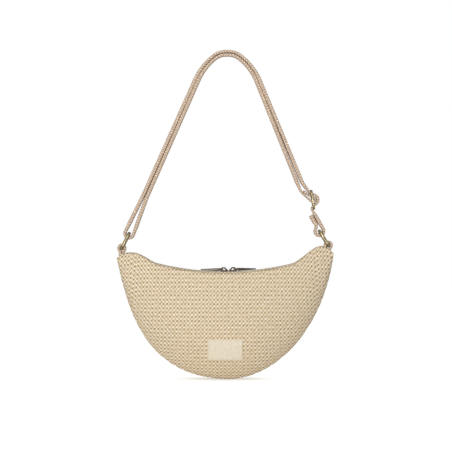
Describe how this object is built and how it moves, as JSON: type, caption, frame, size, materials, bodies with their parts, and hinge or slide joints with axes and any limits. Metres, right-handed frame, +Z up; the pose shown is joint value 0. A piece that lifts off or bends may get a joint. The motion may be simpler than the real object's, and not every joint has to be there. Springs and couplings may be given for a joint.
{
  "type": "half-moon belt bag",
  "caption": "Half-moon belt bag of coarse straw-like weave on a doubled webbing strap, with a curved two-slider zip, ring tabs and a sliding strap adjuster",
  "frame": {"origin": "under the crown of the strap, in the middle of the flat stretch that the bag hangs by", "axes": "+Z up along the hanging bag, +X to the wearer's left as the front faces the viewer, that is to the right in the front view, and +Y from the front of the bag to its back"},
  "size_m": [0.29, 0.0712, 0.4404],
  "materials": {
    "straw": "coarse basket weave of paper straw, cream and ochre",
    "lining": "plain cotton lining",
    "label": "bare cotton label, sewn on",
    "tape": "woven zip tape",
    "coil": "nylon zip coil",
    "webbing": "herringbone cotton webbing",
    "brass": "antique brass plating",
    "gunmetal": "dark gunmetal plating"
  },
  "bodies": {
    "strap": {"strap_outer": "webbing", "strap_inner": "webbing", "strap_right_outer": "webbing", "strap_right_inner": "webbing", "strap_loop_left": "webbing", "strap_loop_right": "webbing", "strap_tail": "webbing"},
    "bag": {"front_panel": "straw", "back_panel": "straw", "front_lining": "lining", "back_lining": "lining", "inner_pocket": "lining", "seam_binding": "lining", "label": "label", "top_strip_front": "straw", "top_strip_back": "straw", "strip_end_left": "straw", "strip_end_right": "straw", "zip_tape_front": "tape", "zip_tape_back": "tape", "zip_coil_front": "coil", "zip_coil_back": "coil", "zip_stop_left": "gunmetal", "zip_stop_right": "gunmetal", "tab_left": "webbing", "tab_right": "webbing"},
    "ring_left": {"ring_left": "brass"},
    "ring_right": {"ring_right": "brass"},
    "slider_left": {"zip_slider_left": "gunmetal"},
    "slider_right": {"zip_slider_right": "gunmetal"},
    "pull_left": {"zip_pull_left": "gunmetal"},
    "pull_right": {"zip_pull_right": "gunmetal"},
    "adjuster": {"adjuster_frame": "brass", "adjuster_turn": "webbing", "adjuster_loop": "webbing"}
  },
  "joints": [
    {"name": "bag_swing", "type": "hinge", "parent": "strap", "child": "bag", "pos_m": [-0.00393, 0, -0.23385], "axis": [0.9999, 0, 0.0124], "range_deg": [-30, 30], "deforming": ["strap_loop_left", "strap_loop_right"]},
    {"name": "ring_left_tip", "type": "hinge", "parent": "bag", "child": "ring_left", "pos_m": [-0.141, 0, -0.2553], "axis": [0, 1, 0], "range_deg": [-3.5, 3.5]},
    {"name": "ring_right_tip", "type": "hinge", "parent": "bag", "child": "ring_right", "pos_m": [0.135, 0, -0.2511], "axis": [0, 1, 0], "range_deg": [-3.5, 3.5]},
    {"name": "slider_left_run", "type": "hinge", "parent": "bag", "child": "slider_left", "pos_m": [-0.003, 0, 0.0967], "axis": [0, 1, 0], "range_deg": [0, 12.5]},
    {"name": "slider_right_run", "type": "hinge", "parent": "bag", "child": "slider_right", "pos_m": [-0.003, 0, 0.0967], "axis": [0, -1, 0], "range_deg": [0, 11.2]},
    {"name": "pull_left_flip", "type": "hinge", "parent": "slider_left", "child": "pull_left", "pos_m": [-0.00588, 0, -0.28289], "axis": [0, 1, 0], "range_deg": [0, 90]},
    {"name": "pull_right_flip", "type": "hinge", "parent": "slider_right", "child": "pull_right", "pos_m": [0.00875, 0, -0.28272], "axis": [0, -1, 0], "range_deg": [0, 90]},
    {"name": "adjuster_slide", "type": "slide", "parent": "strap", "child": "adjuster", "axis": [-0.3834, 0, 0.9236], "range_m": [0, 0.1], "deforming": ["strap_right_outer", "strap_right_inner", "strap_tail"]}
  ]
}
